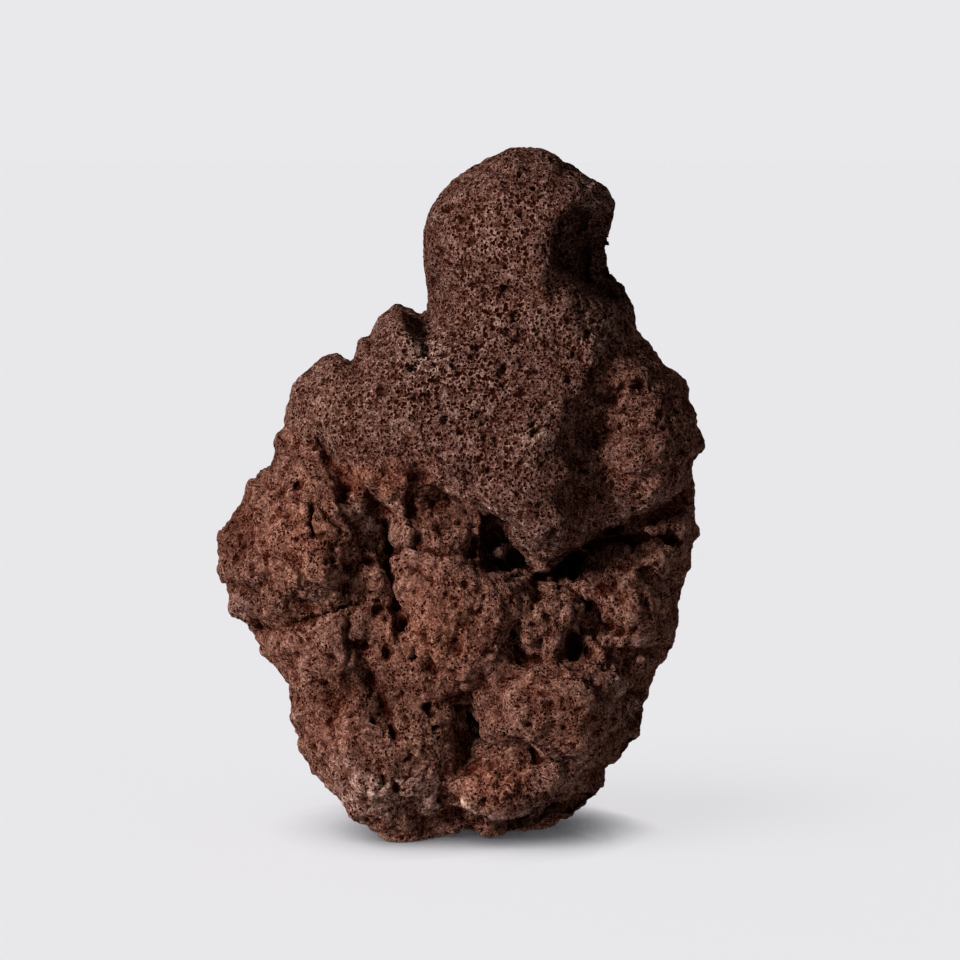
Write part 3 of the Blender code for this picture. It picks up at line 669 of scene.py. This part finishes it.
def make_skin():
    """The stone's skin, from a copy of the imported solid."""
    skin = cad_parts["lava_rock"].copy()
    skin.data = skin.data.copy()
    skin.name = "lava_rock_skin"
    skin.parent = None
    for key in list(skin.keys()):
        del skin[key]
    bpy.context.scene.collection.objects.link(skin)
    set_points(skin.data, mesh_points(skin.data) / MM)
    remesh(skin, SMOOTHING_VOXEL)
    relax(skin, SMOOTHING_ROUNDS)
    remesh(skin, STROKE_VOXEL)
    press(skin, FRONT_LINES, FRONT_HOLLOWS, FRONT_PITS, from_front=True)
    press(skin, BACK_LINES, [], BACK_PITS, from_front=False)
    arch_foot(skin)
    relax(skin, 1)
    set_points(skin.data, draw_out_to_outline(mesh_points(skin.data)))
    remesh(skin, SKIN_VOXEL)
    points = mesh_points(skin.data)
    normals = mesh_normals(skin.data)
    slab = slab_share(points, seen_from_front(points), -normals[:, 1])
    points, hollow = crumble(points, normals, slab)
    points[:, 2] = np.maximum(points[:, 2], 0.0)
    set_points(skin.data, points)
    write_mask(skin.data, "hollow", hollow)
    thin_out(skin, TRIANGLES)
    drop_loose_bits(skin.data)
    points = mesh_points(skin.data)
    points[:, 2] = np.maximum(points[:, 2], 0.0)
    set_points(skin.data, points * MM)
    skin.data.shade_smooth()
    paint_masks(skin.data)
    return skin


def add_node(tree, kind, values=None, **settings):
    """A new node with its settings, and with each named input set to a value or linked to a socket."""
    made = tree.nodes.new(kind)
    for name, value in settings.items():
        setattr(made, name, value)
    for socket, value in (values or {}).items():
        if isinstance(value, bpy.types.NodeSocket):
            tree.links.new(value, made.inputs[socket])
        else:
            made.inputs[socket].default_value = value
    return made


def maths_of(tree, operation, a, b=0.0, c=0.0):
    return add_node(tree, "ShaderNodeMath", {0: a, 1: b, 2: c}, operation=operation).outputs[0]


def mix_of(tree, share, a, b):
    """A value between two values."""
    return add_node(tree, "ShaderNodeMix", {0: share, 2: a, 3: b}).outputs[0]


def blend_of(tree, share, a, b, blend="MIX"):
    """A mix of two colours, or of one colour by another with the given blend."""
    made = add_node(tree, "ShaderNodeMix", {0: share, 6: a, 7: b}, data_type="RGBA", blend_type=blend)
    return made.outputs[2]


def step_of(tree, value, low, high, start=0.0, end=1.0):
    """A smooth step of a value from start to end between low and high."""
    made = add_node(tree, "ShaderNodeMapRange", {0: value, 1: low, 2: high, 3: start, 4: end},
                    interpolation_type="SMOOTHSTEP")
    return made.outputs[0]


def ramp_of(tree, value, stops):
    """A colour that runs from stop to stop, each a value and its colour, as the value rises."""
    ramp = tree.nodes.new("ShaderNodeValToRGB")
    ends = ramp.color_ramp.elements
    ends[0].position, ends[0].color = stops[0][0], (*stops[0][1], 1)
    ends[1].position, ends[1].color = stops[-1][0], (*stops[-1][1], 1)
    for place, colour in stops[1:-1]:
        ends.new(place).color = (*colour, 1)
    tree.links.new(value, ramp.inputs[0])
    return ramp.outputs[0]


def noise_of(tree, place, size, detail=3.0, roughness=0.55):
    """Noise from 0 to 1 with features of about this size, in mm."""
    values = {"Vector": place, "Scale": 1.0 / (size * MM), "Detail": detail, "Roughness": roughness}
    return add_node(tree, "ShaderNodeTexNoise", values).outputs[0]


def swayed_place(tree, place, wave, most):
    """Places moved about by up to half of most, in waves of this length, both in mm."""
    values = {"Vector": place, "Scale": 1.0 / (wave * MM), "Detail": 1.0}
    sway = add_node(tree, "ShaderNodeTexNoise", values).outputs["Color"]
    values = {0: sway, 1: (0.5, 0.5, 0.5)}
    centred = add_node(tree, "ShaderNodeVectorMath", values, operation="SUBTRACT").outputs[0]
    values = {0: centred, "Scale": most * MM}
    shift = add_node(tree, "ShaderNodeVectorMath", values, operation="SCALE").outputs[0]
    return add_node(tree, "ShaderNodeVectorMath", {0: place, 1: shift}, operation="ADD").outputs[0]


def mask_of(tree, name):
    return add_node(tree, "ShaderNodeAttribute", attribute_name=name).outputs["Fac"]


def holes_of(tree, place, spacing, small, large, share, floor):
    """Round gas holes too fine for the mesh: how deep in one a place is, and how near its pale rim.

    The spacing is in mm. The radii from small to large are shares of it, share is how many cells have a
    hole, and floor is how much of a hole's radius is flat.
    """
    cells = add_node(tree, "ShaderNodeTexVoronoi", {"Vector": place, "Scale": 1.0 / (spacing * MM)})
    tone = add_node(tree, "ShaderNodeSeparateColor", {0: cells.outputs["Color"]})
    size = maths_of(tree, "MULTIPLY_ADD", tone.outputs[0], large - small, small)
    edge = maths_of(tree, "DIVIDE", cells.outputs["Distance"], size)
    there = maths_of(tree, "LESS_THAN", tone.outputs[1], share)
    deep = maths_of(tree, "MULTIPLY", step_of(tree, edge, 1.0, floor), there)
    outer = maths_of(tree, "MULTIPLY", step_of(tree, edge, 1.5, 1.08), there)
    return deep, maths_of(tree, "SUBTRACT", outer, deep)


def scoria_material():
    """Red scoria: frothy or crumbly, with painted shade in its holes and hollows and painted light on its
    crests, and with rust, tan, dust and stains.
    """
    material = bpy.data.materials.new("red_scoria_skin")
    material.use_nodes = True
    tree = material.node_tree
    shader = tree.nodes["Principled BSDF"]
    place = add_node(tree, "ShaderNodeTexCoord").outputs["Object"]
    froth, hollow = mask_of(tree, "froth"), mask_of(tree, "hollow")

    bent = swayed_place(tree, place, 1.6, 1.1)

    # Three sizes of unevenness, in mm.
    broad = noise_of(tree, place, 26.0, 3.0)
    clots = noise_of(tree, place, 5.0, 4.0, 0.65)
    grit = noise_of(tree, place, 1.5, 3.0, 0.75)

    # Wide holes where the froth is coarse and open, and fine ones all over.
    coarse = maths_of(tree, "MULTIPLY", step_of(tree, broad, 0.30, 0.55, 0.5), mask_of(tree, "open"))
    coarse = maths_of(tree, "MULTIPLY_ADD", froth, 0.2, coarse)
    wide, wide_rim = holes_of(tree, bent, 3.3, 0.28, 0.58, 0.9, 0.30)
    fine, fine_rim = holes_of(tree, bent, 1.6, 0.32, 0.60, 0.85, 0.60)
    porous = step_of(tree, noise_of(tree, place, 9.0, 2.0), 0.42, 0.62, 0.10, 0.80)
    fine_share = mix_of(tree, froth, porous, 0.9)
    wide = maths_of(tree, "MULTIPLY", wide, coarse)
    wide_rim = maths_of(tree, "MULTIPLY", wide_rim, coarse)
    holes = maths_of(tree, "MAXIMUM", wide, maths_of(tree, "MULTIPLY", fine, fine_share))
    rims = maths_of(tree, "MAXIMUM", wide_rim, maths_of(tree, "MULTIPLY", fine_rim, 0.6))

    # How high the skin stands, about 0.5 on the whole: it gives both the relief and the colour, so low
    # places are darkened as painted shade and high ones lightened as painted light.
    level = maths_of(tree, "MULTIPLY_ADD", grit, 1.7, maths_of(tree, "MULTIPLY_ADD", clots, 0.8, -0.763))
    seams = noise_of(tree, bent, 7.0, 3.0, 0.6)
    off_seam = maths_of(tree, "ABSOLUTE", maths_of(tree, "SUBTRACT", seams, 0.5))
    broken = maths_of(tree, "MULTIPLY", step_of(tree, clots, 0.54, 0.44), mix_of(tree, froth, 0.75, 0.15))
    cracked = maths_of(tree, "MULTIPLY", step_of(tree, off_seam, 0.022, 0.004), broken)
    level = maths_of(tree, "MULTIPLY_ADD", rims, 0.3, level)
    level = maths_of(tree, "SUBTRACT", level, cracked)
    level = maths_of(tree, "MULTIPLY_ADD", holes, -0.9, level)
    strength = mix_of(tree, froth, 0.8, 1.0)
    from_middle = maths_of(tree, "SUBTRACT", level, 0.5)
    level = maths_of(tree, "MULTIPLY_ADD", from_middle, strength, 0.5)
    # Painted shade and light: the colour darkens where the skin lies in a hollow of its own broad shape
    # and lightens where it stands out.
    stands_out = maths_of(tree, "SUBTRACT", mask_of(tree, "relief"), 0.5)
    tone = maths_of(tree, "MULTIPLY_ADD", stands_out, mix_of(tree, froth, 1.1, 0.5), level)
    colour = ramp_of(tree, tone, SCORIA_TONES)
    tint = blend_of(tree, froth, (1.06, 0.99, 0.94, 1), (0.92, 0.90, 0.90, 1))
    colour = blend_of(tree, 1.0, colour, tint, "MULTIPLY")
    ragged = step_of(tree, clots, 0.34, 0.60)
    # Tan and dust lighten the colour, partly as painted light on shaded places; stains darken it, mostly
    # as painted shade in hollows and on faces turned from the lamp.
    for mask, tint, least in (
        ("rust", (1.22, 0.95, 0.82, 1), 0.30),
        ("tan", (1.20, 1.25, 1.15, 1), 0.25),
        ("dust_and_painted_light", (1.70, 2.20, 2.50, 1), 0.40),
        ("stain_and_painted_shade", (0.22, 0.19, 0.19, 1), 0.55),
    ):
        patchy = maths_of(tree, "MULTIPLY_ADD", ragged, 1.0 - least, least)
        share = maths_of(tree, "MULTIPLY", mask_of(tree, mask), patchy)
        colour = blend_of(tree, share, colour, tint, "MULTIPLY")
    # Painted shade: the colour darkens to a near-black red inside the gas holes cut into the skin.
    colour = blend_of(tree, maths_of(tree, "MULTIPLY", hollow, 0.7), colour, (0.040, 0.0065, 0.0027, 1))
    tree.links.new(colour, shader.inputs["Base Color"])

    height = maths_of(tree, "MULTIPLY", level, mix_of(tree, froth, 1.1, 1.6))
    bump = add_node(tree, "ShaderNodeBump", {"Strength": 1.0, "Distance": MM, "Height": height})
    tree.links.new(bump.outputs[0], shader.inputs["Normal"])
    shader.inputs["Roughness"].default_value = 0.92
    shader.inputs["Diffuse Roughness"].default_value = 0.8
    shader.inputs["Specular IOR Level"].default_value = 0.0
    return material


def floor_material():
    material = bpy.data.materials.new("pale_floor_painted_shadow")
    material.use_nodes = True
    tree = material.node_tree
    shader = tree.nodes["Principled BSDF"]
    # Painted contact shadow: the floor's colour darkens where the stone is near, found by ambient
    # occlusion whose rays lean up, left and towards the front, so the shade spreads more to the stone's
    # right.
    lean = add_node(tree, "ShaderNodeCombineXYZ", {0: -0.55, 1: -0.33, 2: 0.77}).outputs[0]
    reach = {"Distance": 40 * MM, "Normal": lean}
    around = add_node(tree, "ShaderNodeAmbientOcclusion", reach, samples=4)
    unshadowed_share = step_of(tree, around.outputs["AO"], 0.25, 0.97)
    colour = blend_of(tree, unshadowed_share, (0.04, 0.04, 0.045, 1), (0.792, 0.789, 0.814, 1))
    tree.links.new(colour, shader.inputs["Base Color"])
    shader.inputs["Roughness"].default_value = 1.0
    shader.inputs["Specular IOR Level"].default_value = 0.0
    return material


def make_floor():
    """A pale floor out to the horizon, with a painted contact shadow near the stone, which doesn't throw
    its light back onto the stone.
    """
    mesh = bpy.data.meshes.new("floor")
    far = 60.0
    corners = [(-far, -far, 0), (far, -far, 0), (far, far, 0), (-far, far, 0)]
    mesh.from_pydata(corners, [], [(0, 1, 2, 3)])
    floor = bpy.data.objects.new("floor", mesh)
    bpy.context.scene.collection.objects.link(floor)
    floor.data.materials.append(floor_material())
    floor.visible_diffuse = False
    floor.visible_glossy = False
    return floor


def light_group(name, members):
    """A collection that lights can be linked to, so that they light only its members."""
    group = bpy.data.collections.new(name)
    for member in members:
        group.objects.link(member)
    return group


def add_light(name, kind, direction, group, energy, distance=0.0, size=0.0):
    """A sun or a square panel that shines from the given direction at the stone's middle."""
    data = bpy.data.lights.new(name, kind)
    data.energy = energy
    if kind == "SUN":
        data.angle = size
    else:
        data.shape = "SQUARE"
        data.size = size
    light = bpy.data.objects.new(name, data)
    bpy.context.scene.collection.objects.link(light)
    way = Vector(direction).normalized()
    light.location = Vector((0, 0, 0.17)) + way * distance
    light.rotation_euler = way.to_track_quat("Z", "Y").to_euler()
    light.light_linking.receiver_collection = group
    return light


def make_world():
    """The backdrop is as pale as the floor to the camera, and only a dim fill to everything else."""
    world = bpy.data.worlds.new("studio")
    bpy.context.scene.world = world
    world.use_nodes = True
    tree = world.node_tree
    backdrop = tree.nodes["Background"]
    backdrop.inputs[0].default_value = (0.8148, 0.8070, 0.8308, 1.0)
    place = add_node(tree, "ShaderNodeTexCoord").outputs["Generated"]
    way = add_node(tree, "ShaderNodeSeparateXYZ", {0: place})
    from_below = step_of(tree, way.outputs[2], 0.15, -0.6, 0.08, 0.42)
    fill = add_node(tree, "ShaderNodeBackground", {0: (1.0, 0.95, 0.95, 1.0), 1: from_below})
    to_camera = add_node(tree, "ShaderNodeLightPath").outputs["Is Camera Ray"]
    values = {0: to_camera, 1: fill.outputs[0], 2: backdrop.outputs[0]}
    both = add_node(tree, "ShaderNodeMixShader", values)
    tree.links.new(both.outputs[0], tree.nodes["World Output"].inputs[0])


def make_camera():
    camera = bpy.data.objects.new("camera", bpy.data.cameras.new("camera"))
    bpy.context.scene.collection.objects.link(camera)
    back = Vector((0, -math.cos(SIGHT_TILT), math.sin(SIGHT_TILT)))
    camera.location = Vector(SIGHT_TARGET * MM) + back * SIGHT_DISTANCE * MM
    camera.rotation_euler = back.to_track_quat("Z", "Y").to_euler()
    camera.data.sensor_width = SENSOR_WIDTH
    camera.data.lens = SENSOR_WIDTH * SIGHT_DISTANCE / SIGHT_WIDTH
    bpy.context.scene.camera = camera


make_camera()
make_world()
skin = make_skin()
skin.data.materials.clear()
skin.data.materials.append(scoria_material())
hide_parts("lava_rock")
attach(skin, "root")
floor = make_floor()

stone_only = light_group("lit stone", [skin])
floor_only = light_group("lit floor", [floor])
add_light("key", "AREA", (-0.74, -0.66, 0.38), stone_only, 30.0, 1.6, 0.35)
add_light("back left", "AREA", (-0.55, 0.80, 0.35), stone_only, 9.0, 1.8, 0.8)
add_light("back right", "AREA", (0.52, 0.84, 0.30), stone_only, 16.0, 1.8, 0.8)
add_light("floor fill", "SUN", (0, 0, 1), floor_only, 2.62).data.use_shadow = False
add_light("floor sun", "SUN", (-0.45, -0.30, 1.0), floor_only, 0.38, size=math.radians(40))
bpy.context.scene.view_settings.view_transform = "Standard"
